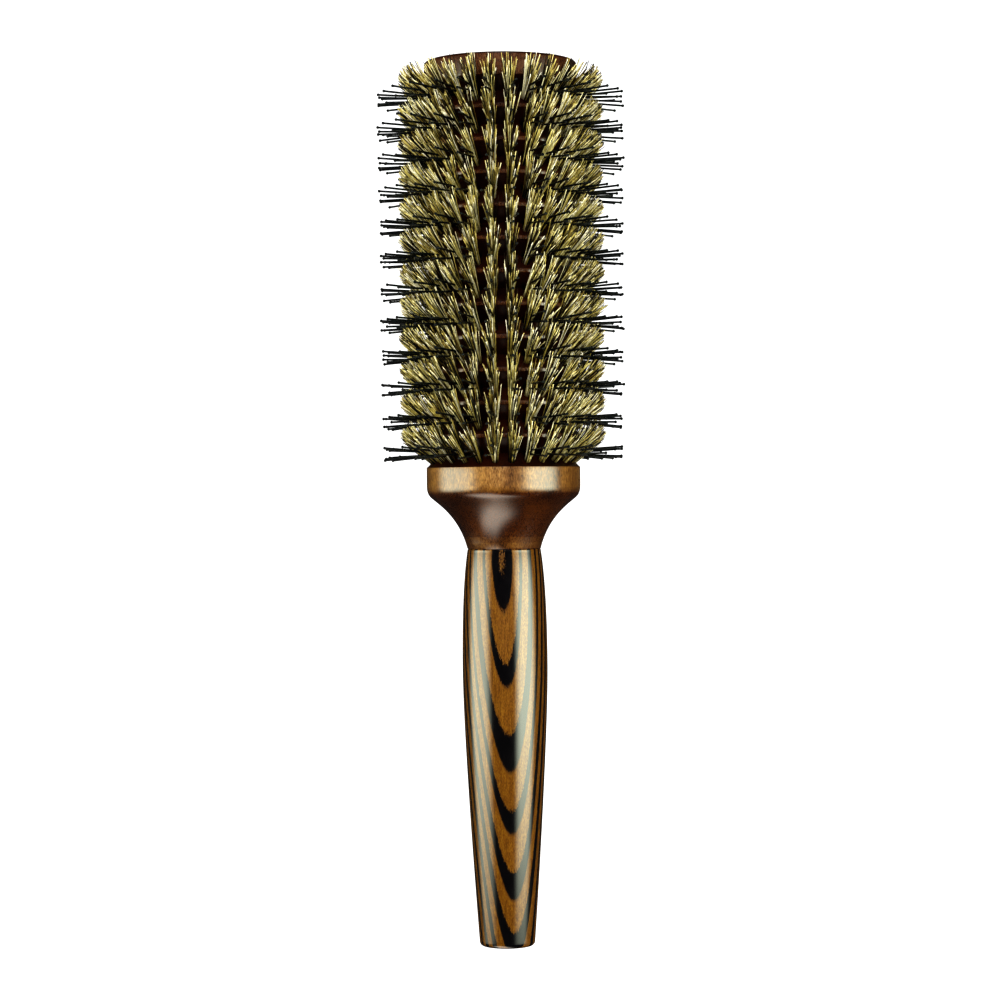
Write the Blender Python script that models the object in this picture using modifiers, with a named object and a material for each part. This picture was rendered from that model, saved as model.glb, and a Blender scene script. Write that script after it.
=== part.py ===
"""Round barrel hairbrush: a turned wooden barrel on a laminated wooden handle, with rows of boar
tufts and nylon pins. Metres, +Z up along the brush, origin in the middle of the handle's flat end.
"""

import math

import bmesh
import bpy
from mathutils import Vector
from mathutils.geometry import interpolate_bezier

# Driving dimensions
BRUSH_LENGTH = 0.250
BARREL_RADIUS = 0.0216
COLLAR_RADIUS = 0.02175
JOINT_HEIGHT = 0.1123
JOINT_RADIUS = 0.0104
GAP = 0.0003
ROWS = 12
COLUMNS = 28
ROW_PITCH = 0.009115
COLLAR_TOP = 0.13538
BOAR_LEAN = math.radians(42)

# Barrel
TOP_EDGE = 0.0008
GROOVE_DEPTH = 0.0034
WALL_TOP = 0.0080
SLOT_PLACE = 0.0023
SLOT_DEPTH = 0.0014
BAND_FOOT = 0.1302
COLLAR_FOOT = (0.02085, 0.1272)
COLLAR_CURVE = ((COLLAR_RADIUS, 0.1283), (0.0211, 0.12752))
NECK_CURVE = ((0.01972, 0.12574), (0.01287, 0.12229))

# Handle
BELLY = (0.01204, 0.0795)
BELLY_CURVE = ((0.01128, 0.1063), (BELLY[0], 0.0962))
GRIP_CURVE = ((BELLY[0], 0.0594), (0.0085, 0.0099))
END_RADIUS = 0.00785
END_ROUNDING = 0.0013
SHOULDER_CHAMFER = 0.0002
TENON_RADIUS = 0.0065
TENON_LENGTH = 0.026
TENON_CHAMFER = 0.0006

# Tufts and pins
BOAR_LENGTH = 0.0113
BOAR_BASE = (0.0017, 0.0013)
BOAR_TIP = (0.0028, 0.0034)
PIN_BASE = (0.0006, 0.0006)
PIN_TIP = (0.00075, 0.0010)
PIN_ROOT_DEPTH = 0.0006
PIN_REACH_LOWEST_ROW = 0.0340
PIN_REACH_HIGHEST_ROW = 0.0351
ROOT_RECESS = 0.0001
INSET = 0.0001

CREASE_ANGLE = math.radians(35)
FRONT = -math.pi / 2
COLUMN_STEP = 2 * math.pi / COLUMNS


def clear_scene():
    for obj in list(bpy.data.objects):
        bpy.data.objects.remove(obj, do_unlink=True)


def new_collection(name):
    collection = bpy.data.collections.new(name)
    bpy.context.scene.collection.children.link(collection)
    return collection


def new_material(name, colour, roughness):
    material = bpy.data.materials.new(name)
    material.use_nodes = True
    shader = material.node_tree.nodes["Principled BSDF"]
    shader.inputs["Base Color"].default_value = (*colour, 1.0)
    shader.inputs["Roughness"].default_value = roughness
    shader.inputs["Metallic"].default_value = 0.0
    return material


def bezier(start, first_handle, second_handle, end, points):
    """Points (radius, height) on a Bezier stretch of a turned outline, both ends included."""
    corners = [Vector((*corner, 0.0)) for corner in (start, first_handle, second_handle, end)]
    return [(point.x, point.y) for point in interpolate_bezier(*corners, points)]


def arc(centre, radius, start_degrees, end_degrees, points):
    """Points on a rounded edge, measured from the outward direction."""
    step = (end_degrees - start_degrees) / (points - 1)
    angles = [math.radians(start_degrees + step * index) for index in range(points)]
    return [(centre[0] + radius * math.cos(a), centre[1] + radius * math.sin(a)) for a in angles]


def turned_object(name, outline, material, collection):
    """A solid of revolution. The outline runs from its top down its outer side, in the XZ plane."""
    profile = bpy.data.meshes.new(name + "_outline")
    points = [(radius, 0.0, height) for radius, height in outline]
    profile.from_pydata(points, [(index, index + 1) for index in range(len(points) - 1)], [])
    profile.materials.append(material)
    obj = bpy.data.objects.new(name, profile)
    collection.objects.link(obj)
    screw = obj.modifiers.new("turning", "SCREW")
    screw.axis = "Z"
    screw.steps = COLUMNS
    screw.render_steps = COLUMNS
    screw.use_merge_vertices = True
    screw.merge_threshold = 0.00001
    evaluated = obj.evaluated_get(bpy.context.evaluated_depsgraph_get())
    turned = bpy.data.meshes.new_from_object(evaluated)
    turned.name = name
    obj.modifiers.clear()
    obj.data = turned
    turned.shade_smooth()
    turned.set_sharp_from_angle(angle=CREASE_ANGLE)


def crest_height(row):
    return COLLAR_TOP + ROW_PITCH * row


def flank_point(distance, depth=0.0):
    """Radius and height over the crest of a point up the groove's lower flank, at a depth in it."""
    radius = BARREL_RADIUS - distance * math.sin(BOAR_LEAN) - depth * math.cos(BOAR_LEAN)
    return radius, distance * math.cos(BOAR_LEAN) - depth * math.sin(BOAR_LEAN)


GROOVE_BOTTOM = flank_point(GROOVE_DEPTH / math.sin(BOAR_LEAN))


def row_outline(row):
    """One V groove: its wall, its bottom and the lower flank, where a slot takes the boar tufts."""
    crest = crest_height(row)
    below_wall = [
        GROOVE_BOTTOM,
        flank_point(SLOT_PLACE + SLOT_DEPTH),
        flank_point(SLOT_PLACE, SLOT_DEPTH),
        flank_point(SLOT_PLACE - SLOT_DEPTH),
        (BARREL_RADIUS if row else COLLAR_RADIUS, 0.0),
    ]
    return [(radius, crest + height) for radius, height in [(BARREL_RADIUS, WALL_TOP), *below_wall]]


def make_barrel(material, collection):
    """Grooved barrel, collar, flared neck and the blind bore that takes the handle's tenon."""
    outline = [(0.0, BRUSH_LENGTH)]
    edge_centre = (BARREL_RADIUS - TOP_EDGE, BRUSH_LENGTH - TOP_EDGE)
    outline += arc(edge_centre, TOP_EDGE, 90, 0, 4)
    for row in reversed(range(ROWS)):
        outline += row_outline(row)
    outline += bezier((COLLAR_RADIUS, BAND_FOOT), *COLLAR_CURVE, COLLAR_FOOT, 4)
    neck_foot = JOINT_HEIGHT + GAP / 2
    outline += bezier(COLLAR_FOOT, *NECK_CURVE, (JOINT_RADIUS, neck_foot), 8)[1:]
    bore_radius = TENON_RADIUS + GAP
    bore_end = neck_foot + TENON_LENGTH
    outline += [(bore_radius, neck_foot), (bore_radius, bore_end), (0.0, bore_end)]
    turned_object("barrel", outline, material, collection)


def make_handle(material, collection):
    """Tapered handle with a belly near its top, a rounded end and the tenon under the neck."""
    shoulder = JOINT_HEIGHT - GAP / 2
    tenon_top = shoulder + TENON_LENGTH
    outline = [
        (0.0, tenon_top),
        (TENON_RADIUS - TENON_CHAMFER, tenon_top),
        (TENON_RADIUS, tenon_top - TENON_CHAMFER),
        (TENON_RADIUS, shoulder),
        (JOINT_RADIUS - SHOULDER_CHAMFER, shoulder),
    ]
    top = (JOINT_RADIUS, shoulder - SHOULDER_CHAMFER)
    outline += bezier(top, *BELLY_CURVE, BELLY, 6)
    outline += bezier(BELLY, *GRIP_CURVE, (END_RADIUS, END_ROUNDING), 9)[1:]
    outline += arc((END_RADIUS - END_ROUNDING, END_ROUNDING), END_ROUNDING, 0, -90, 4)[1:]
    outline.append((0.0, 0.0))
    turned_object("handle", outline, material, collection)


def finger_directions(face, lean):
    """A root face's centre, the direction of the finger that starts on it, and two square to it."""
    centre = face.calc_center_median()
    outward = Vector((*centre.xy, 0.0)).normalized()
    upward = Vector((0.0, 0.0, 1.0))
    forward = math.cos(lean) * outward + math.sin(lean) * upward
    rise = math.cos(lean) * upward - math.sin(lean) * outward
    return centre, forward, outward.cross(upward), rise


def place_corners(face, centre, along, rise, size):
    """Gives a four-cornered face the width and height in size."""
    for vertex in face.verts:
        offset = vertex.co - centre
        side = math.copysign(size[0] / 2, offset.dot(along))
        level = math.copysign(size[1] / 2, offset.dot(rise))
        vertex.co = centre + side * along + level * rise


def row_mesh(name, section, start, lean, length, base, tip):
    """A ring of joined roots with one finger per column, square to the ring's outer face."""
    bm = bmesh.new()
    turned = [(radius * math.cos(start), radius * math.sin(start), height) for radius, height in section]
    corners = [bm.verts.new(point) for point in turned]
    edges = [bm.edges.new((corners[index - 1], corners[index])) for index in range(len(corners))]
    bmesh.ops.spin(
        bm,
        geom=corners + edges,
        axis=(0.0, 0.0, 1.0),
        angle=2 * math.pi,
        steps=COLUMNS,
        use_merge=True,
    )
    bmesh.ops.recalc_face_normals(bm, faces=bm.faces)
    outer = [face for face in bm.faces if face.normal.dot(finger_directions(face, lean)[1]) > 0.9]
    bmesh.ops.inset_individual(bm, faces=outer, thickness=INSET)
    for face in outer:
        centre, _, along, rise = finger_directions(face, lean)
        place_corners(face, centre, along, rise, base)
    for face in bmesh.ops.extrude_discrete_faces(bm, faces=outer)["faces"]:
        centre, forward, along, rise = finger_directions(face, lean)
        bmesh.ops.translate(bm, verts=face.verts, vec=length * forward)
        place_corners(face, centre + length * forward, along, rise, tip)
    mesh = bpy.data.meshes.new(name)
    bm.to_mesh(mesh)
    bm.free()
    return mesh


def boar_section():
    """The root ring's corners: it follows the slot's sides at the gap, just under its mouth."""
    inner = SLOT_DEPTH - GAP * math.sqrt(2)
    half_width = inner - ROOT_RECESS
    return [
        flank_point(SLOT_PLACE, inner),
        flank_point(SLOT_PLACE + half_width, ROOT_RECESS),
        flank_point(SLOT_PLACE - half_width, ROOT_RECESS),
    ]


def nylon_section():
    """The root ring's corners: it follows the groove's flanks round its bottom. Its own corners turn
    halfway between the barrel's, which takes a little more room."""
    radius, height = GROOVE_BOTTOM
    inner = radius + GAP / math.cos(BOAR_LEAN) + radius * (1 - math.cos(COLUMN_STEP / 2))
    wall_slope = (WALL_TOP - height) / GROOVE_DEPTH
    return [
        (inner, height),
        (inner + PIN_ROOT_DEPTH, height + PIN_ROOT_DEPTH * wall_slope),
        (inner + PIN_ROOT_DEPTH, height - PIN_ROOT_DEPTH / math.tan(BOAR_LEAN)),
    ]


def add_row(name, mesh, row, material, collection):
    mesh.materials.clear()
    mesh.materials.append(material)
    obj = bpy.data.objects.new(name, mesh)
    obj.location.z = crest_height(row)
    collection.objects.link(obj)


def make_boar_rows(material, collection):
    """Each row leans towards the top of the brush, one finger for the tuft in each column."""
    mesh = row_mesh("boar_row", boar_section(), FRONT, BOAR_LEAN, BOAR_LENGTH, BOAR_BASE, BOAR_TIP)
    for row in range(ROWS):
        add_row(f"boar_row_{row + 1:02d}", mesh, row, material, collection)


def make_nylon_rows(material, collection):
    """Each row stands square to the barrel, its fingers between the boar fingers of its level."""
    section = nylon_section()
    root_radius = section[1][0] * math.cos(COLUMN_STEP / 2)
    for row in range(ROWS):
        share = row / (ROWS - 1)
        tip_radius = PIN_REACH_LOWEST_ROW + share * (PIN_REACH_HIGHEST_ROW - PIN_REACH_LOWEST_ROW)
        name = f"nylon_row_{row + 1:02d}"
        start = FRONT + COLUMN_STEP / 2
        mesh = row_mesh(name, section, start, 0.0, tip_radius - root_radius, PIN_BASE, PIN_TIP)
        add_row(name, mesh, row, material, collection)


def main():
    clear_scene()
    parts = new_collection("round_barrel_brush")
    barrel_wood = new_material("barrel_wood", (0.115, 0.042, 0.014), 0.22)
    handle_wood = new_material("handle_wood", (0.145, 0.070, 0.020), 0.16)
    boar = new_material("boar_bristle", (0.420, 0.360, 0.150), 0.45)
    nylon = new_material("nylon_pin", (0.012, 0.013, 0.014), 0.30)
    make_barrel(barrel_wood, parts)
    make_handle(handle_wood, parts)
    make_boar_rows(boar, parts)
    make_nylon_rows(nylon, parts)


main()
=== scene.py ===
"""Looks of the round barrel brush: lacquered barrel, laminated handle, boar tufts and nylon pins.
Metres, +Z up along the brush, origin in the middle of the handle's flat end.
"""

import math

import bpy
import numpy as np
from mathutils import Matrix, Vector
from mathutils.geometry import interpolate_bezier


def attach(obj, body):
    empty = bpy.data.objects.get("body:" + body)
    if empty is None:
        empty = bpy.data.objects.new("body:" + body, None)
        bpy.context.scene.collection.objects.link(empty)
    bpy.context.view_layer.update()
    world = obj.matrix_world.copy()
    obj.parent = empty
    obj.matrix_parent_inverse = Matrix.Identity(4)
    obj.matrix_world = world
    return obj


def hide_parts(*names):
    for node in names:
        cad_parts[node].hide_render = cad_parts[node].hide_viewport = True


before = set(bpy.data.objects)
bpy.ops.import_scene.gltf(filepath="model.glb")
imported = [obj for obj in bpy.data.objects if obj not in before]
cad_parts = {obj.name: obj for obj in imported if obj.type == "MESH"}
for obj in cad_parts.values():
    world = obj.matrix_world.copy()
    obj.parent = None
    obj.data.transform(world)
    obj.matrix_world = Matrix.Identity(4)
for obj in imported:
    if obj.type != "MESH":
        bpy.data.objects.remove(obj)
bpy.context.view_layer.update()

# Turned wood
BRUSH_LENGTH = 0.250
BARREL_RADIUS = 0.0216
COLLAR_RADIUS = 0.02175
JOINT_HEIGHT = 0.1123
JOINT_RADIUS = 0.0104
JOINT_GAP = 0.00004
BORE_CLEARANCE = 0.0003
TENON_RADIUS = 0.0065
TENON_LENGTH = 0.026
GROOVE_DEPTH = 0.0034
WALL_TOP = 0.0080
TOP_FACE_RINGS = (0.003, 0.009, 0.015, 0.019)
TOP_EDGE = 0.0008
CREST_EDGE = 0.00022
STRIP_PROUD = 0.00003
COLLAR_FOOT = (0.02085, 0.1272)
COLLAR_CURVE = ((COLLAR_RADIUS, 0.1283), (0.0211, 0.12752))
NECK_CURVE = ((0.01972, 0.12574), (0.01287, 0.12229))
BELLY = (0.01204, 0.0795)
BELLY_CURVE = ((0.01128, 0.1063), (BELLY[0], 0.0962))
GRIP_CURVE = ((BELLY[0], 0.0594), (0.0085, 0.0099))
END_RADIUS = 0.00785
END_ROUNDING = 0.0013
END_FLAT_RADIUS = 0.0030
HANDLE_SIDES = 160
SHOULDER_EDGE = 0.00025
TENON_CHAMFER = 0.0006
BAND_FOOT = 0.2465
COLLAR_BAND = (0.1340, 0.1320, 0.1302)
NECK_EDGE = (0.00015, 0.0002)
SHARP_ANGLE = math.radians(40)

# Rows and columns
ROWS = 12
COLUMNS = 28
ROW_PITCH = 0.009115
COLLAR_TOP = 0.13538
COLUMN_STEP = 2 * math.pi / COLUMNS
COLUMN_SHARES = (-0.82, -0.44, -0.36, -0.26, -0.1, 0.1, 0.26, 0.36, 0.44, 0.82)
FRONT = -math.pi / 2
HOLE_EDGE = 0.0002

# Boar tufts
BOAR_LEAN = math.radians(42)
BOAR_PLACE = 0.0023
BOAR_HOLE_RADIUS = 0.00088
BOAR_HOLE_DEPTH = 0.0018
BOAR_STRANDS = 54
BOAR_ROOT_SPREAD = 0.00078
BOAR_TIP_RADIUS = 0.0289
BOAR_TIP_RISE = 0.0079
BOAR_SIDE_FAN = 2.8
BOAR_RISE_FAN = 5.5
BOAR_STRAND_RADIUS = 0.00016
BOAR_TIP_SHARE = 0.6
BOAR_RISE_LIMITS = (0.0018, 0.0117)
BOAR_ROOT_DEPTH = 0.0014
BOAR_RINGS = 6
BOAR_SIDES = 3
WILD_SHARE = 0.03
WILD_SPREAD = 2.6
SHORT_SHARE = 0.14
SHORT_REACH = (0.72, 0.95)
DARK_SHARE = 0.42
PALE_SHARE = 0.16
TRIM_ROUND = 160.0

# Nylon pins
PIN_PLACE = 0.0039
PIN_HOLE_RADIUS = 0.00075
PIN_HOLE_DEPTH = 0.0012
PIN_REACH_LOWEST_ROW = 0.0340
PIN_REACH_HIGHEST_ROW = 0.0351
PINS_PER_HOLE = 2
PIN_RADIUS = 0.00029
BALL_RADIUS = 0.00043
PIN_SPLAY = 0.0012
PIN_ROOT_DEPTH = 0.0006
PIN_RINGS = 7
PIN_SIDES = 8
BALL_ANGLES = (-52, -25, 0, 25, 50, 72)

# Studio. A panel has a name, azimuth, elevation, size, brightness and colour.
# The soft boxes are what the lacquer reflects, and the fills light the wood and the bristles.
WHITE = (1.0, 1.0, 1.0)
SOFT_BOXES = (
    ("left_softbox", -76, -4, (1.40, 0.80), 2.5, (0.95, 1.0, 0.81)),
    ("right_softbox", 58, -4, (1.16, 0.80), 3.3, (0.93, 1.0, 0.81)),
    ("low_board", -48, -70, (0.75, 1.10), 1.75, (1.0, 0.92, 0.80)),
    ("top_board", 0, 60, (0.6, 0.4), 3.0, WHITE),
)
FILLS = (
    ("front_fill", 0, 25, (1.2, 1.2), 5.0, WHITE),
    ("left_fill", -70, 20, (1.2, 0.9), 1.7, WHITE),
    ("right_fill", 75, 10, (1.2, 0.9), 0.3, WHITE),
    ("left_rim", -95, -38, (0.7, 0.7), 1.5, WHITE),
    ("right_rim", 80, -40, (0.7, 0.7), 7.5, WHITE),
    ("back_fill", 180, 20, (1.5, 1.3), 4.6, WHITE),
)
PANEL_DISTANCE = 0.8
PANEL_SIDE_FADE = 0.35
PANEL_END_FADE = 0.40
SURROUND = 0.03
FLOOR_HEIGHT = -0.45
CAMERA_PLACE = (-0.00105, -0.8, 0.12614)
CAMERA_LENS = 101.65
CAMERA_ROLL = -0.5

# Finish, and painted shade on the barrel's slopes and ribbed part
COAT_IOR = 1.9
# painted shade: darkens wood that faces up or down, such as the neck, the groove flanks and the top
SLOPE_PAINTED_SHADE = (0.28, 0.155, 0.060)
# painted shade: darkens all of the barrel's ribbed part, where the tufts shade it
RIBBED_PAINTED_SHADE = (0.30, 0.21, 0.24)
COAT_LOST_IN_GROOVES = 0.85

# Veneers in the handle, from the first orange one forward: orange and black thicknesses in turn.
# The block is tilted, cupped and twisted across its width, and bent near the top of the handle.
VENEER_START = 0.00893
FRONT_VENEERS = (
    0.00136, 0.00111, 0.00152, 0.00088, 0.00149,
    0.00135, 0.00163, 0.00057, 0.00104, 0.00053,
)
BACK_VENEERS = (0.00125, 0.00165)
BLOCK_BACK = -0.0180
BLOCK_FRONT = 0.0225
VENEER_TILT = 0.085
VENEER_CUP = 24.0
VENEER_TWIST_AT_END = 0.37
VENEER_TWIST_RATE = -4.2
VENEER_BENDS = ((0.095, 0.025), (0.104, 0.013))
VENEER_WAVE = 0.0004
VENEER_RAGGED = 0.0006


def bezier(start, first_handle, second_handle, end, points):
    """Points (radius, height) on a Bezier stretch of a turned outline, both ends included."""
    corners = [Vector((*corner, 0.0)) for corner in (start, first_handle, second_handle, end)]
    return [(point.x, point.y) for point in interpolate_bezier(*corners, points)]


def arc(centre, radius, start_degrees, end_degrees, points):
    """Points on a rounded edge, measured from the outward direction."""
    step = (end_degrees - start_degrees) / (points - 1)
    angles = [math.radians(start_degrees + step * index) for index in range(points)]
    return [(centre[0] + radius * math.cos(a), centre[1] + radius * math.sin(a)) for a in angles]


def straight(start, end, points):
    """Points on a straight stretch, without its first point."""
    shares = [(index + 1) / points for index in range(points)]
    return [tuple(a + (b - a) * share for a, b in zip(start, end)) for share in shares]


def crest_height(row):
    return COLLAR_TOP + ROW_PITCH * row


def flank_point(distance, depth=0.0):
    """Radius and height over the crest of a point up the groove's lower flank, at a depth in it."""
    radius = BARREL_RADIUS - distance * math.sin(BOAR_LEAN) - depth * math.cos(BOAR_LEAN)
    return radius, distance * math.cos(BOAR_LEAN) - depth * math.sin(BOAR_LEAN)


FLANK_LENGTH = GROOVE_DEPTH / math.sin(BOAR_LEAN)
GROOVE_BOTTOM = flank_point(FLANK_LENGTH)


def revolve(outline, angles):
    """Grid of points (outline, angle, xyz) turned about Z."""
    radius = np.array([point[0] for point in outline])[:, None]
    height = np.array([point[1] for point in outline])[:, None]
    grid = np.empty((len(outline), len(angles), 3))
    grid[:, :, 0] = radius * np.cos(angles)
    grid[:, :, 1] = radius * np.sin(angles)
    grid[:, :, 2] = height
    return grid


def turned_mesh(name, grid):
    """A closed mesh from a revolved grid whose outline runs top to bottom down its outer side.
    The first and last rings close onto the axis."""
    rings, sides, _ = grid.shape
    top = np.array([[0.0, 0.0, grid[0, 0, 2]]])
    bottom = np.array([[0.0, 0.0, grid[-1, 0, 2]]])
    points = np.concatenate([grid.reshape(-1, 3), top, bottom])
    ring, side = np.meshgrid(np.arange(rings - 1), np.arange(sides), indexing="ij")
    following = (side + 1) % sides
    corners = [ring * sides + side, (ring + 1) * sides + side]
    corners += [(ring + 1) * sides + following, ring * sides + following]
    quads = np.stack(corners, axis=-1).reshape(-1, 4)
    around = np.arange(sides)
    after = (around + 1) % sides
    last = (rings - 1) * sides
    pairs = list(zip(around.tolist(), after.tolist()))
    lids = [[rings * sides, a, b] for a, b in pairs]
    lids += [[rings * sides + 1, last + b, last + a] for a, b in pairs]
    mesh = bpy.data.meshes.new(name)
    mesh.from_pydata(points.tolist(), [], quads.tolist() + lids)
    mesh.update()
    mesh.shade_smooth()
    mesh.set_sharp_from_angle(angle=SHARP_ANGLE)
    return mesh


def tube_mesh(name, centres, radii, sides, tone, share):
    """Closed tubes, one for each row of centres. tone is one value a tube, share one a ring."""
    count, rings, _ = centres.shape
    chord = centres[:, -1] - centres[:, 0]
    chord /= np.linalg.norm(chord, axis=1, keepdims=True)
    helper = np.where(np.abs(chord[:, 2:3]) > 0.9, [[1.0, 0.0, 0.0]], [[0.0, 0.0, 1.0]])
    across = np.cross(chord, helper)
    across /= np.linalg.norm(across, axis=1, keepdims=True)
    level = np.cross(chord, across)
    turn = 2 * math.pi * np.arange(sides) / sides
    spokes = across[:, None] * np.cos(turn)[:, None] + level[:, None] * np.sin(turn)[:, None]
    points = centres[:, :, None] + radii[:, :, None, None] * spokes[:, None]
    tube, ring, side = np.meshgrid(
        np.arange(count), np.arange(rings - 1), np.arange(sides), indexing="ij"
    )
    here = (tube * rings + ring) * sides
    following = (side + 1) % sides
    corners = [here + side, here + following, here + sides + following, here + sides + side]
    quads = np.stack(corners, axis=-1).reshape(-1, 4).tolist()
    first = np.arange(count)[:, None] * rings * sides + np.arange(sides)[::-1]
    last = first + (rings - 1) * sides
    lids = first.tolist() + last[:, ::-1].tolist()
    mesh = bpy.data.meshes.new(name)
    mesh.from_pydata(points.reshape(-1, 3).tolist(), [], quads + lids)
    mesh.update()
    mesh.shade_smooth()
    tones = mesh.attributes.new("tone", "FLOAT", "POINT")
    tones.data.foreach_set("value", np.repeat(tone, rings * sides).astype(np.float32))
    along = mesh.attributes.new("along", "FLOAT", "POINT")
    spread = np.broadcast_to(share[None, :, None], (count, rings, sides))
    along.data.foreach_set("value", spread.ravel().astype(np.float32))
    return mesh


def add_piece(name, mesh, material, node):
    """A piece that stands for one CAD node and rides on the brush's only body."""
    mesh.materials.append(material)
    piece = bpy.data.objects.new(name, mesh)
    bpy.context.scene.collection.objects.link(piece)
    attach(piece, "root")
    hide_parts(node)


# Materials


def new_material(name):
    material = bpy.data.materials.new(name)
    material.use_nodes = True
    return material, material.node_tree, material.node_tree.nodes["Principled BSDF"]


def add_node(tree, kind, inputs=None, **settings):
    """A node with its settings made, and its inputs set or linked."""
    made = tree.nodes.new(kind)
    for key, value in settings.items():
        setattr(made, key, value)
    for key, value in (inputs or {}).items():
        if isinstance(value, bpy.types.NodeSocket):
            tree.links.new(value, made.inputs[key])
        else:
            made.inputs[key].default_value = value
    return made


def math_node(tree, operation, *values):
    inputs = dict(enumerate(values))
    return add_node(tree, "ShaderNodeMath", inputs, operation=operation).outputs[0]


def noise(tree, where, scale, detail=4.0, roughness=0.5):
    inputs = {"Vector": where, "Scale": scale, "Detail": detail, "Roughness": roughness}
    return add_node(tree, "ShaderNodeTexNoise", inputs).outputs["Fac"]


def stretched(tree, factors):
    """Object coordinates in metres, stretched by one factor for each axis."""
    where = add_node(tree, "ShaderNodeTexCoord").outputs["Object"]
    inputs = {"Vector": where, "Scale": factors}
    return add_node(tree, "ShaderNodeMapping", inputs).outputs["Vector"]


def ramp(tree, value, stops):
    """A colour for a value. stops holds (position, colour)."""
    made = add_node(tree, "ShaderNodeValToRGB", {"Fac": value})
    elements = made.color_ramp.elements
    while len(elements) < len(stops):
        elements.new(1.0)
    for element, (position, colour) in zip(elements, stops):
        element.position = position
        element.color = (*colour, 1.0)
    return made.outputs["Color"]


def mix_colours(tree, share, first, second, blend="MIX"):
    made = add_node(tree, "ShaderNodeMix", data_type="RGBA", blend_type=blend)
    sockets = (made.inputs[0], made.inputs[6], made.inputs[7])
    for socket, value in zip(sockets, (share, first, second)):
        if isinstance(value, bpy.types.NodeSocket):
            tree.links.new(value, socket)
        elif isinstance(value, tuple):
            socket.default_value = (*value, 1.0)
        else:
            socket.default_value = value
    return made.outputs[2]


def add_bump(tree, shader, height, strength, distance):
    inputs = {"Height": height, "Strength": strength, "Distance": distance}
    made = add_node(tree, "ShaderNodeBump", inputs)
    tree.links.new(made.outputs["Normal"], shader.inputs["Normal"])


def add_coat_grain(tree, shader, height):
    """The grain shows a little in the lacquer's own surface."""
    inputs = {"Height": height, "Strength": 0.25, "Distance": 0.00003}
    made = add_node(tree, "ShaderNodeBump", inputs)
    tree.links.new(made.outputs["Normal"], shader.inputs["Coat Normal"])


def lacquer(shader, roughness):
    shader.inputs["Coat Weight"].default_value = 1.0
    shader.inputs["Coat Roughness"].default_value = roughness
    shader.inputs["Coat IOR"].default_value = COAT_IOR
    shader.inputs["Specular IOR Level"].default_value = 0.15


def barrel_wood():
    """Red-brown stained close-grained wood: long fibres, dark pores and cloudy stain, with painted
    shade on the slopes and in the ribbed part, and little lacquer left in the grooves."""
    material, tree, shader = new_material("stained_wood")
    clouds = noise(tree, stretched(tree, (90.0, 90.0, 45.0)), 1.0, 3.0, 0.6)
    fibres = noise(tree, stretched(tree, (2600.0, 2600.0, 800.0)), 1.0, 5.0, 0.6)
    pores = noise(tree, stretched(tree, (5200.0, 5200.0, 900.0)), 1.0, 2.0, 0.5)
    tint = math_node(tree, "MULTIPLY", fibres, 0.45)
    tint = math_node(tree, "MULTIPLY_ADD", clouds, 0.55, tint)
    stain = ramp(
        tree,
        tint,
        [
            (0.36, (0.045, 0.015, 0.002)),
            (0.50, (0.190, 0.085, 0.014)),
            (0.64, (0.400, 0.220, 0.050)),
        ],
    )
    dots = ramp(tree, pores, [(0.36, (0.25, 0.2, 0.18)), (0.47, (1.0, 1.0, 1.0))])
    colour = mix_colours(tree, 0.75, stain, dots, "MULTIPLY")
    slope, ribbed = slope_and_ribbed_masks(tree)
    # painted shade on surfaces that face up or down
    colour = mix_colours(tree, slope, colour, SLOPE_PAINTED_SHADE, "MULTIPLY")
    # painted shade over the ribbed part among the tufts
    colour = mix_colours(tree, ribbed, colour, RIBBED_PAINTED_SHADE, "MULTIPLY")
    tree.links.new(colour, shader.inputs["Base Color"])
    gloss = add_node(tree, "ShaderNodeMapRange", {"Value": fibres, "To Min": 0.30, "To Max": 0.50})
    tree.links.new(gloss.outputs["Result"], shader.inputs["Roughness"])
    add_bump(tree, shader, pores, 0.35, 0.00006)
    add_coat_grain(tree, shader, math_node(tree, "MULTIPLY_ADD", pores, 0.5, fibres))
    lacquer(shader, 0.22)
    groove = math_node(tree, "MULTIPLY", slope, ribbed)
    coat = math_node(tree, "MULTIPLY_ADD", groove, -COAT_LOST_IN_GROOVES, 1.0)
    tree.links.new(coat, shader.inputs["Coat Weight"])
    return material


def slope_and_ribbed_masks(tree):
    """Where the surface faces up or down, and the barrel's ribbed part: both get painted shade."""
    geometry = add_node(tree, "ShaderNodeNewGeometry")
    normal = add_node(tree, "ShaderNodeSeparateXYZ", {"Vector": geometry.outputs["True Normal"]})
    tilt = math_node(tree, "ABSOLUTE", normal.outputs["Z"])
    facing = {"Value": tilt, "From Min": 0.05, "From Max": 0.42}
    slope = add_node(tree, "ShaderNodeMapRange", facing).outputs["Result"]
    where = add_node(tree, "ShaderNodeTexCoord").outputs["Object"]
    place = add_node(tree, "ShaderNodeSeparateXYZ", {"Vector": where})
    return slope, math_node(tree, "GREATER_THAN", place.outputs["Z"], COLLAR_TOP)


def veneer_edges():
    """Where each joint between two veneers lies, with its number: 0 starts the first orange one."""
    edges = [(VENEER_START, 0)]
    for thickness in FRONT_VENEERS:
        edges.append((edges[-1][0] + thickness, edges[-1][1] + 1))
    while edges[0][0] > BLOCK_BACK + BACK_VENEERS[1]:
        thickness = BACK_VENEERS[edges[0][1] % 2]
        edges.insert(0, (edges[0][0] - thickness, edges[0][1] - 1))
    return edges


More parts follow.
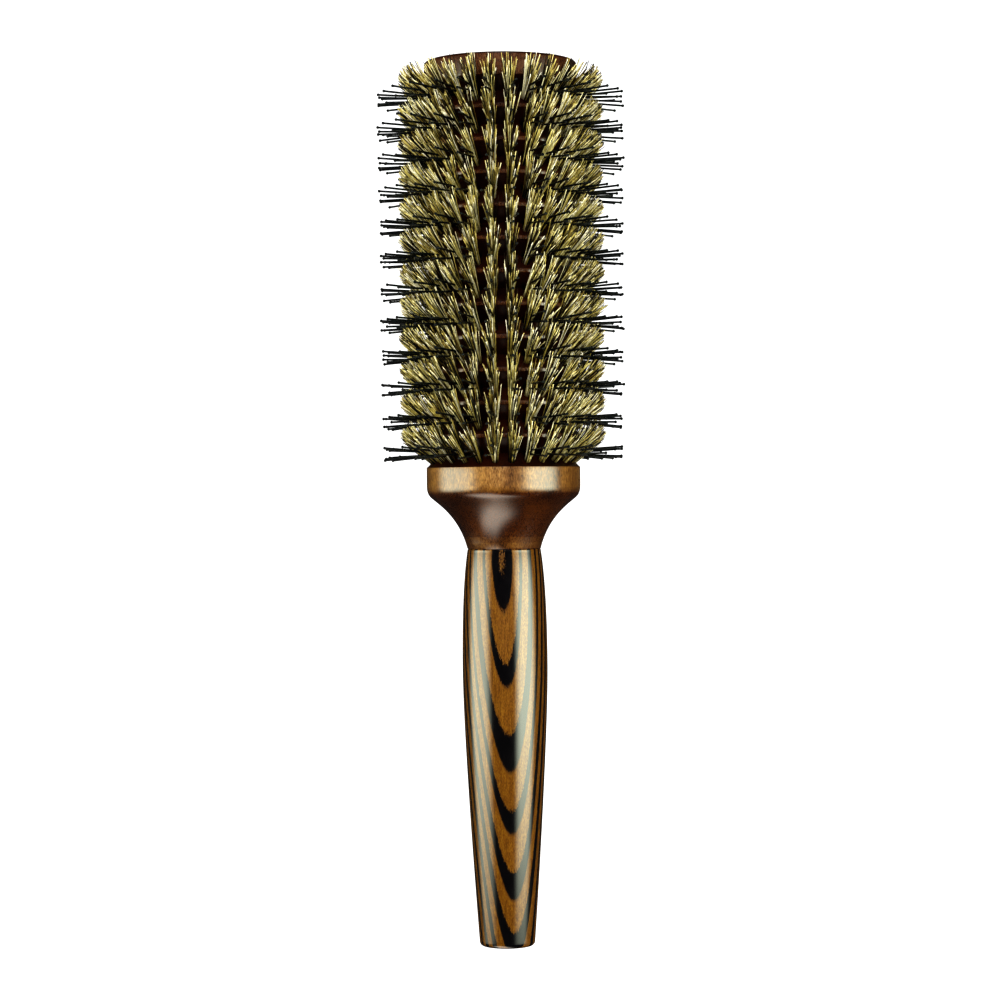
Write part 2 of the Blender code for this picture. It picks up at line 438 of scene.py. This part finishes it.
def veneer_number(tree, forward):
    """Which veneer a point is in, counted along the block. An even number is orange."""
    edges = veneer_edges()
    first, last = edges[0][1], edges[-1][1] + 1
    edges.append((BLOCK_FRONT, last))
    place = {"Value": forward, "From Min": BLOCK_BACK, "From Max": BLOCK_FRONT}
    place = add_node(tree, "ShaderNodeMapRange", place).outputs["Result"]
    stops = []
    for edge, number in edges:
        level = (number - first) / (last - first)
        stops.append(((edge - BLOCK_BACK) / (BLOCK_FRONT - BLOCK_BACK), (level, level, level)))
    return math_node(tree, "MULTIPLY_ADD", ramp(tree, place, stops), last - first, first)


def ply_coordinate(tree):
    """How far forward a point lies in the block of veneers, tilted, twisted and bent a little."""
    where = add_node(tree, "ShaderNodeTexCoord").outputs["Object"]
    place = add_node(tree, "ShaderNodeSeparateXYZ", {"Vector": where})
    x, y, z = (place.outputs[axis] for axis in "XYZ")
    twist = math_node(tree, "MULTIPLY_ADD", z, VENEER_TWIST_RATE, VENEER_TWIST_AT_END)
    twist = math_node(tree, "MULTIPLY_ADD", x, -VENEER_CUP, twist)
    forward = math_node(tree, "SUBTRACT", math_node(tree, "MULTIPLY", x, twist), y)
    forward = math_node(tree, "MULTIPLY_ADD", z, VENEER_TILT, forward)
    for start, slope in VENEER_BENDS:
        above = math_node(tree, "MAXIMUM", math_node(tree, "SUBTRACT", z, start), 0.0)
        forward = math_node(tree, "MULTIPLY_ADD", above, slope, forward)
    wave = noise(tree, stretched(tree, (70.0, 70.0, 22.0)), 1.0, 1.0, 0.4)
    wave = math_node(tree, "SUBTRACT", wave, 0.5)
    return math_node(tree, "MULTIPLY_ADD", wave, VENEER_WAVE, forward)


def handle_wood():
    """Dyed veneers, black and orange-brown in turn, in a block that is turned to shape."""
    material, tree, shader = new_material("laminated_wood")
    fibres = noise(tree, stretched(tree, (2600.0, 2600.0, 160.0)), 1.0, 4.0, 0.65)
    specks = noise(tree, stretched(tree, (4200.0, 4200.0, 1500.0)), 1.0, 2.0, 0.5)
    grain = math_node(tree, "MULTIPLY", fibres, 0.5)
    grain = math_node(tree, "MULTIPLY_ADD", specks, 0.5, grain)
    ragged = math_node(tree, "SUBTRACT", grain, 0.5)
    ragged = math_node(tree, "MULTIPLY", ragged, VENEER_RAGGED)
    forward = math_node(tree, "ADD", ply_coordinate(tree), ragged)
    phase = math_node(tree, "MULTIPLY", veneer_number(tree, forward), math.pi)
    side = math_node(tree, "MULTIPLY_ADD", math_node(tree, "SINE", phase), 0.5, 0.5)
    layer = ramp(tree, side, [(0.40, (0.0, 0.0, 0.0)), (0.62, (1.0, 1.0, 1.0))])
    orange = ramp(
        tree,
        grain,
        [
            (0.34, (0.070, 0.026, 0.002)),
            (0.50, (0.145, 0.060, 0.004)),
            (0.66, (0.240, 0.115, 0.010)),
        ],
    )
    black = ramp(
        tree,
        fibres,
        [(0.35, (0.0008, 0.0005, 0.0010)), (0.75, (0.005, 0.0035, 0.0045))],
    )
    tree.links.new(mix_colours(tree, layer, black, orange), shader.inputs["Base Color"])
    gloss = add_node(tree, "ShaderNodeMapRange", {"Value": fibres, "To Min": 0.30, "To Max": 0.45})
    tree.links.new(gloss.outputs["Result"], shader.inputs["Roughness"])
    add_bump(tree, shader, specks, 0.22, 0.00004)
    add_coat_grain(tree, shader, grain)
    lacquer(shader, 0.12)
    return material


def boar_bristle():
    """Straw-coloured bristle, some strands dark or pale; painted shade at the root, painted light
    at the tip.
    """
    material, tree, shader = new_material("boar_bristle")
    tone = add_node(tree, "ShaderNodeAttribute", attribute_name="tone").outputs["Fac"]
    along = add_node(tree, "ShaderNodeAttribute", attribute_name="along").outputs["Fac"]
    colour = ramp(
        tree,
        tone,
        [
            (0.00, (0.003, 0.002, 0.001)),
            (0.20, (0.012, 0.008, 0.003)),
            (0.28, (0.180, 0.115, 0.022)),
            (0.60, (0.560, 0.470, 0.125)),
            (0.85, (0.860, 0.800, 0.390)),
            (1.00, (0.960, 0.930, 0.720)),
        ],
    )
    streaks = noise(tree, stretched(tree, (1500.0, 1500.0, 300.0)), 1.0, 2.0, 0.5)
    # painted shade towards the root and painted light towards the tip, along each strand
    painted_root_shade_tip_light = ramp(
        tree,
        along,
        [(0.0, (0.75, 0.70, 0.60)), (0.45, (0.95, 0.95, 0.95)), (1.0, (1.08, 1.08, 1.12))],
    )
    mottled = ramp(tree, streaks, [(0.3, (0.7, 0.68, 0.62)), (0.7, (1.1, 1.1, 1.1))])
    colour = mix_colours(tree, 1.0, colour, painted_root_shade_tip_light, "MULTIPLY")
    colour = mix_colours(tree, 1.0, colour, mottled, "MULTIPLY")
    tree.links.new(colour, shader.inputs["Base Color"])
    shader.inputs["Roughness"].default_value = 0.36
    shader.inputs["Specular IOR Level"].default_value = 0.35
    return material


def nylon():
    """Black nylon: nearly even, a little duller where moulding left it cloudy."""
    material, tree, shader = new_material("black_nylon")
    clouds = noise(tree, stretched(tree, (800.0, 800.0, 800.0)), 1.0, 2.0, 0.5)
    colour = ramp(tree, clouds, [(0.3, (0.002, 0.003, 0.003)), (0.7, (0.006, 0.009, 0.009))])
    tree.links.new(colour, shader.inputs["Base Color"])
    gloss = add_node(tree, "ShaderNodeMapRange", {"Value": clouds, "To Min": 0.12, "To Max": 0.24})
    tree.links.new(gloss.outputs["Result"], shader.inputs["Roughness"])
    return material


# Barrel


def row_outline(row):
    """From a groove's wall round its bottom and down its lower flank to the crest:
    (radius, height, part, row)."""
    crest = crest_height(row)
    crest_radius = BARREL_RADIUS if row else COLLAR_RADIUS
    strip = [(BARREL_RADIUS + STRIP_PROUD, (WALL_TOP + ROW_PITCH) / 2)]
    lip = arc((BARREL_RADIUS - CREST_EDGE, WALL_TOP + 0.6 * CREST_EDGE), CREST_EDGE, 0, -38, 3)
    wall = straight(lip[-1], GROOVE_BOTTOM, 7)
    flank = [flank_point(distance) for distance in flank_distances()]
    edge = arc((crest_radius - CREST_EDGE, -0.5 * CREST_EDGE), CREST_EDGE, 42, 0, 3)
    parts = ["edge"] * 4 + ["wall"] * len(wall) + ["flank"] * len(flank) + ["edge"] * 3
    points = strip + lip + wall + flank + edge
    return [(radius, crest + height, part, row) for (radius, height), part in zip(points, parts)]


def flank_distances():
    """Down the flank from the groove's bottom, in short steps where the holes are."""
    upper = BOAR_PLACE + 1.2 * BOAR_HOLE_RADIUS
    lower = BOAR_PLACE - 1.2 * BOAR_HOLE_RADIUS
    across = [upper + (lower - upper) * step / 7 for step in range(8)]
    return [(FLANK_LENGTH + upper) / 2, *across, lower / 2]


def barrel_outline():
    """The whole outline, top centre to the blind bore's end, as (radius, height, part, row)."""
    flat = [(radius, BRUSH_LENGTH) for radius in TOP_FACE_RINGS]
    edge_centre = (BARREL_RADIUS - TOP_EDGE, BRUSH_LENGTH - TOP_EDGE)
    band = arc(edge_centre, TOP_EDGE, 90, 0, 6) + [(BARREL_RADIUS, BAND_FOOT)]
    outline = [(*point, "plain", -1) for point in flat + band]
    for row in reversed(range(ROWS)):
        outline += row_outline(row)
    neck_foot = JOINT_HEIGHT + JOINT_GAP / 2
    collar = [(COLLAR_RADIUS, height) for height in COLLAR_BAND]
    collar += bezier(collar[-1], *COLLAR_CURVE, COLLAR_FOOT, 9)[1:]
    neck_edge = (JOINT_RADIUS, neck_foot + NECK_EDGE[1])
    collar += bezier(COLLAR_FOOT, *NECK_CURVE, neck_edge, 18)[1:]
    bore_radius = TENON_RADIUS + BORE_CLEARANCE
    collar += [(JOINT_RADIUS - NECK_EDGE[0], neck_foot), (bore_radius, neck_foot)]
    collar += [(bore_radius, neck_foot + TENON_LENGTH + BORE_CLEARANCE)]
    return outline + [(*point, "plain", -1) for point in collar]


def column_angles():
    """Angles round the barrel, closer together across each column's holes."""
    offsets = np.array(COLUMN_SHARES) * (COLUMN_STEP * 0.5)
    centres = FRONT + COLUMN_STEP * (np.arange(COLUMNS) + 0.5)
    return (centres[:, None] + offsets).ravel(), np.tile(offsets, COLUMNS)


def sink_holes(grid, outline, offsets):
    """Pushes the wood in where tufts and pins are set: holes in the flanks and in the bottoms."""
    radius = np.array([point[0] for point in outline])[:, None]
    outward = radius * np.cos(offsets)
    aside = radius * np.sin(offsets)
    unit = grid[:, :, :2] / np.linalg.norm(grid[:, :, :2], axis=2, keepdims=True)
    hole_radius, hole_height = flank_point(BOAR_PLACE)
    for index, (_, height, part, row) in enumerate(outline):
        level = height - crest_height(row)
        if part == "flank":
            rise = (level - hole_height) * math.cos(BOAR_LEAN)
            rise = rise - (outward[index] - hole_radius) * math.sin(BOAR_LEAN)
            away = np.hypot(rise, aside[index])
            sink = np.clip((BOAR_HOLE_RADIUS - away) / HOLE_EDGE, 0, 1) * BOAR_HOLE_DEPTH
            grid[index, :, :2] -= unit[index] * (sink * math.cos(BOAR_LEAN))[:, None]
            grid[index, :, 2] -= sink * math.sin(BOAR_LEAN)
        if part == "wall":
            away = np.hypot(level - PIN_PLACE, aside[index])
            sink = np.clip((PIN_HOLE_RADIUS - away) / HOLE_EDGE, 0, 1) * PIN_HOLE_DEPTH
            grid[index, :, :2] -= unit[index] * sink[:, None]


def make_barrel():
    outline = barrel_outline()
    angles, offsets = column_angles()
    grid = revolve(outline, angles)
    sink_holes(grid, outline, offsets)
    mesh = turned_mesh("barrel_turned", grid)
    add_piece("barrel_turned", mesh, barrel_wood(), "barrel")


# Handle


def make_handle():
    shoulder = JOINT_HEIGHT - JOINT_GAP / 2
    tenon_top = shoulder + TENON_LENGTH
    edge_centre = (JOINT_RADIUS - SHOULDER_EDGE, shoulder - SHOULDER_EDGE)
    outline = [(TENON_RADIUS - TENON_CHAMFER, tenon_top)]
    outline += [(TENON_RADIUS, tenon_top - TENON_CHAMFER), (TENON_RADIUS, shoulder)]
    outline += arc(edge_centre, SHOULDER_EDGE, 90, 10, 4)
    top = (JOINT_RADIUS, shoulder - 1.5 * SHOULDER_EDGE)
    outline += bezier(top, *BELLY_CURVE, BELLY, 24)
    outline += bezier(BELLY, *GRIP_CURVE, (END_RADIUS, END_ROUNDING), 48)[1:]
    outline += arc((END_RADIUS - END_ROUNDING, END_ROUNDING), END_ROUNDING, 0, -90, 9)[1:]
    outline += [(END_FLAT_RADIUS, 0.0)]
    angles = FRONT + 2 * math.pi * np.arange(HANDLE_SIDES) / HANDLE_SIDES
    mesh = turned_mesh("handle_turned", revolve(outline, angles))
    add_piece("handle_turned", mesh, handle_wood(), "handle")


# Bristles


def along_column(azimuth, radial, aside, height):
    """World points from distances out from the axis, sideways along the barrel and up."""
    points = np.empty((*radial.shape, 3))
    points[..., 0] = radial * np.cos(azimuth) - aside * np.sin(azimuth)
    points[..., 1] = radial * np.sin(azimuth) + aside * np.cos(azimuth)
    points[..., 2] = height
    return points


def bowed(start, middle, end, rings):
    """Points on a quadratic curve from start to end, for arrays of the same shape."""
    share = np.linspace(0, 1, rings)
    curve = (1 - share) ** 2 * start[..., None] + 2 * share * (1 - share) * middle[..., None]
    return curve + share**2 * end[..., None], share


def boar_tones(draw, shape):
    """Straw of many tones, with a share of the strands dark and a share pale."""
    tone = draw.normal(0.57, 0.19, shape)
    pick = draw.random(shape)
    tone = np.where(pick < DARK_SHARE, draw.uniform(0.0, 0.22, shape), tone)
    tone = np.where(pick > 1 - PALE_SHARE, draw.uniform(0.85, 1.0, shape), tone)
    return np.clip(tone, 0, 1)


def boar_row_mesh(name, row):
    """28 tufts of loose bristles that fan out from their holes, trimmed to an even round."""
    draw = np.random.default_rng(1000 + row)
    shape = (COLUMNS, BOAR_STRANDS)
    azimuth = (FRONT + COLUMN_STEP * (np.arange(COLUMNS) + 0.5))[:, None]
    spin = draw.uniform(0, 2 * math.pi, shape)
    out = BOAR_ROOT_SPREAD * np.sqrt(draw.random(shape))
    side, rise = out * np.cos(spin), out * np.sin(spin)
    wild = np.where(draw.random(shape) < WILD_SHARE, WILD_SPREAD, 1.0)
    hole_radius, hole_height = flank_point(BOAR_PLACE)
    start_radial = hole_radius - rise * math.sin(BOAR_LEAN)
    start_rise = hole_height + rise * math.cos(BOAR_LEAN)
    end_radial = BOAR_TIP_RADIUS + draw.normal(0, 0.00035, shape)
    climb = BOAR_TIP_RISE + draw.normal(0, 0.0003, (COLUMNS, 1)) + BOAR_RISE_FAN * rise
    climb = np.clip(climb + wild * draw.normal(0, 0.0008, shape), *BOAR_RISE_LIMITS)
    end_side = side * BOAR_SIDE_FAN + draw.normal(0, 0.0004, (COLUMNS, 1))
    end_side = end_side + wild * draw.normal(0, 0.0003, shape)
    reach = np.where(draw.random(shape) < SHORT_SHARE, draw.uniform(*SHORT_REACH, shape), 1.0)
    end_radial = hole_radius + (end_radial - hole_radius) * reach
    end_radial -= TRIM_ROUND * (climb - BOAR_TIP_RISE) ** 2
    end_rise = hole_height + climb * reach
    end_side = side + (end_side - side) * reach
    run = np.hypot(end_radial - start_radial, end_rise - start_rise)
    axis_radial = start_radial + 0.5 * run * math.cos(BOAR_LEAN)
    axis_rise = start_rise + 0.5 * run * math.sin(BOAR_LEAN)
    bow_radial = (start_radial + end_radial + 2 * axis_radial) / 4 + draw.normal(0, 0.00015, shape)
    bow_rise = (start_rise + end_rise + 2 * axis_rise) / 4 + draw.normal(0, 0.00018, shape)
    bow_side = (side + end_side) / 2 - 0.15 * (end_side - side) + draw.normal(0, 0.00018, shape)
    radial, share = bowed(start_radial, bow_radial, end_radial, BOAR_RINGS)
    aside, _ = bowed(side, bow_side, end_side, BOAR_RINGS)
    height, _ = bowed(start_rise, bow_rise, end_rise, BOAR_RINGS)
    radial[..., 0] -= BOAR_ROOT_DEPTH * math.cos(BOAR_LEAN)
    height[..., 0] -= BOAR_ROOT_DEPTH * math.sin(BOAR_LEAN)
    points = along_column(azimuth[:, :, None], radial, aside, crest_height(row) + height)
    points = points.reshape(-1, BOAR_RINGS, 3)
    thickness = BOAR_STRAND_RADIUS * draw.uniform(0.7, 1.25, (len(points), 1))
    radii = thickness * (1 - (1 - BOAR_TIP_SHARE) * share**2)
    return tube_mesh(name, points, radii, BOAR_SIDES, boar_tones(draw, shape).ravel(), share)


def make_boar_rows():
    bristle = boar_bristle()
    for row in range(ROWS):
        name = f"boar_tufts_{row + 1:02d}"
        node = f"boar_row_{row + 1:02d}"
        add_piece(name, boar_row_mesh(name, row), bristle, node)


def nylon_row_mesh(name, row):
    """28 pairs of pins with ball tips. One of each pair splays up and the other down."""
    draw = np.random.default_rng(3000 + row)
    shape = (COLUMNS, PINS_PER_HOLE)
    azimuth = (FRONT + COLUMN_STEP * (np.arange(COLUMNS) + 0.5))[:, None]
    hand = np.where(np.arange(PINS_PER_HOLE) == 0, -1.0, 1.0)[None, :]
    grow = row / (ROWS - 1)
    reach = PIN_REACH_LOWEST_ROW + grow * (PIN_REACH_HIGHEST_ROW - PIN_REACH_LOWEST_ROW)
    start_rise = PIN_PLACE + 0.0003 * hand + draw.normal(0, 0.00005, shape)
    end_rise = PIN_PLACE + PIN_SPLAY * hand + draw.normal(0, 0.00035, shape)
    start_side = draw.normal(0, 0.0001, shape)
    end_side = 0.00025 * hand + draw.normal(0, 0.0005, shape)
    bow_side = (start_side + end_side) / 2 + draw.normal(0, 0.00015, shape)
    bow_rise = (start_rise + end_rise) / 2 + draw.normal(0, 0.00015, shape)
    start = np.full(shape, GROOVE_BOTTOM[0] - PIN_ROOT_DEPTH)
    end = reach - BALL_RADIUS + draw.normal(0, 0.0002, shape)
    radial, share = bowed(start, (start + end) / 2, end, PIN_RINGS)
    aside, _ = bowed(start_side, bow_side, end_side, PIN_RINGS)
    upward, _ = bowed(start_rise, bow_rise, end_rise, PIN_RINGS)
    points = along_column(azimuth[:, :, None], radial, aside, crest_height(row) + upward)
    points, radii, share = with_balls(points.reshape(-1, PIN_RINGS, 3), share)
    return tube_mesh(name, points, radii, PIN_SIDES, draw.random(len(points)), share)


def with_balls(points, share):
    """Adds a ball at each pin's end: rings on a half circle past the end of the shaft."""
    direction = points[:, -1] - points[:, -2]
    direction /= np.linalg.norm(direction, axis=1, keepdims=True)
    angles = np.radians(BALL_ANGLES)
    steps = BALL_RADIUS * np.sin(angles)
    ball = points[:, -1, None] + direction[:, None] * steps[:, None]
    shaft = points.copy()
    shaft[:, -1] -= direction * BALL_RADIUS * 0.92
    centres = np.concatenate([shaft, ball], axis=1)
    radii = np.concatenate([np.full(len(share), PIN_RADIUS), BALL_RADIUS * np.cos(angles)])
    radii = np.broadcast_to(radii, centres.shape[:2])
    return centres, radii, np.concatenate([share, np.ones(len(angles))])


def make_nylon_rows():
    material = nylon()
    for row in range(ROWS):
        name = f"nylon_pins_{row + 1:02d}"
        node = f"nylon_row_{row + 1:02d}"
        add_piece(name, nylon_row_mesh(name, row), material, node)


# Studio


def add_panel(name, azimuth, elevation, size, brightness, colour):
    """A panel that faces the middle of the brush. Azimuth 0 is in front, positive to the right."""
    target = Vector((0.0, 0.0, BRUSH_LENGTH / 2))
    turn, lift = math.radians(azimuth), math.radians(elevation)
    level = Vector((math.sin(turn), -math.cos(turn), 0.0))
    away = level * math.cos(lift) + Vector((0.0, 0.0, math.sin(lift)))
    light = bpy.data.lights.new(name, "AREA")
    light.shape = "RECTANGLE"
    light.size, light.size_y = size
    light.energy = 4 * size[0] * size[1] * brightness
    light.color = colour
    lamp = bpy.data.objects.new(name, light)
    lamp.location = target + away * PANEL_DISTANCE
    lamp.rotation_euler = away.to_track_quat("Z", "Y").to_euler()
    lamp.visible_camera = False
    soften_edges(light)
    bpy.context.scene.collection.objects.link(lamp)
    return lamp


def soften_edges(light):
    """A panel is brightest in its middle and fades out towards each of its sides."""
    light.use_nodes = True
    tree = light.node_tree
    place = add_node(tree, "ShaderNodeNewGeometry").outputs["Parametric"]
    place = add_node(tree, "ShaderNodeSeparateXYZ", {"Vector": place})
    strength = 1.0
    for axis, fade in (("X", PANEL_SIDE_FADE), ("Y", PANEL_END_FADE)):
        share = place.outputs[axis]
        inward = math_node(tree, "MINIMUM", share, math_node(tree, "SUBTRACT", 1.0, share))
        inputs = {"Value": inward, "From Max": fade}
        rise = add_node(tree, "ShaderNodeMapRange", inputs, interpolation_type="SMOOTHSTEP")
        strength = math_node(tree, "MULTIPLY", strength, rise.outputs["Result"])
    tree.links.new(strength, tree.nodes["Emission"].inputs["Strength"])


def make_world():
    """White behind the brush, and a dim surround in what the lacquer reflects."""
    world = bpy.data.worlds.new("studio")
    world.use_nodes = True
    bpy.context.scene.world = world
    tree = world.node_tree
    tree.nodes.clear()
    white = (*WHITE, 1.0)
    seen = add_node(tree, "ShaderNodeBackground", {"Color": white, "Strength": 1.0})
    around = add_node(tree, "ShaderNodeBackground", {"Color": white, "Strength": SURROUND})
    path = add_node(tree, "ShaderNodeLightPath")
    shares = {0: path.outputs["Is Camera Ray"], 1: around.outputs[0], 2: seen.outputs[0]}
    mixed = add_node(tree, "ShaderNodeMixShader", shares)
    out = add_node(tree, "ShaderNodeOutputWorld")
    tree.links.new(mixed.outputs[0], out.inputs["Surface"])


def make_floor():
    """A plain pale floor some way under the brush, lit as evenly as the white behind it."""
    bpy.ops.mesh.primitive_plane_add(size=8.0, location=(0.0, 0.0, FLOOR_HEIGHT))
    floor = bpy.context.object
    floor.name = "floor"
    material, tree, shader = new_material("pale_floor")
    shader.inputs["Base Color"].default_value = (0.0, 0.0, 0.0, 1.0)
    shader.inputs["Specular IOR Level"].default_value = 0.0
    shader.inputs["Emission Color"].default_value = (*WHITE, 1.0)
    shader.inputs["Emission Strength"].default_value = 1.0
    floor.data.materials.append(material)
    floor.visible_glossy = False
    floor.visible_diffuse = False


def make_camera():
    """Level with the middle of the brush, which leans half a degree in the frame."""
    data = bpy.data.cameras.new("camera")
    data.sensor_width = 36.0
    data.lens = CAMERA_LENS
    camera = bpy.data.objects.new("camera", data)
    upright = Matrix.Rotation(math.radians(90), 4, "X")
    roll = Matrix.Rotation(math.radians(CAMERA_ROLL), 4, "Z")
    camera.matrix_world = Matrix.Translation(CAMERA_PLACE) @ upright @ roll
    bpy.context.scene.collection.objects.link(camera)
    bpy.context.scene.camera = camera


def make_studio():
    make_world()
    make_floor()
    for box in SOFT_BOXES:
        add_panel(*box).visible_diffuse = False
    for fill in FILLS:
        add_panel(*fill).visible_glossy = False
    make_camera()
    bpy.context.scene.view_settings.view_transform = "Standard"
    bpy.context.scene.view_settings.look = "High Contrast"


make_studio()
make_barrel()
make_handle()
make_boar_rows()
make_nylon_rows()
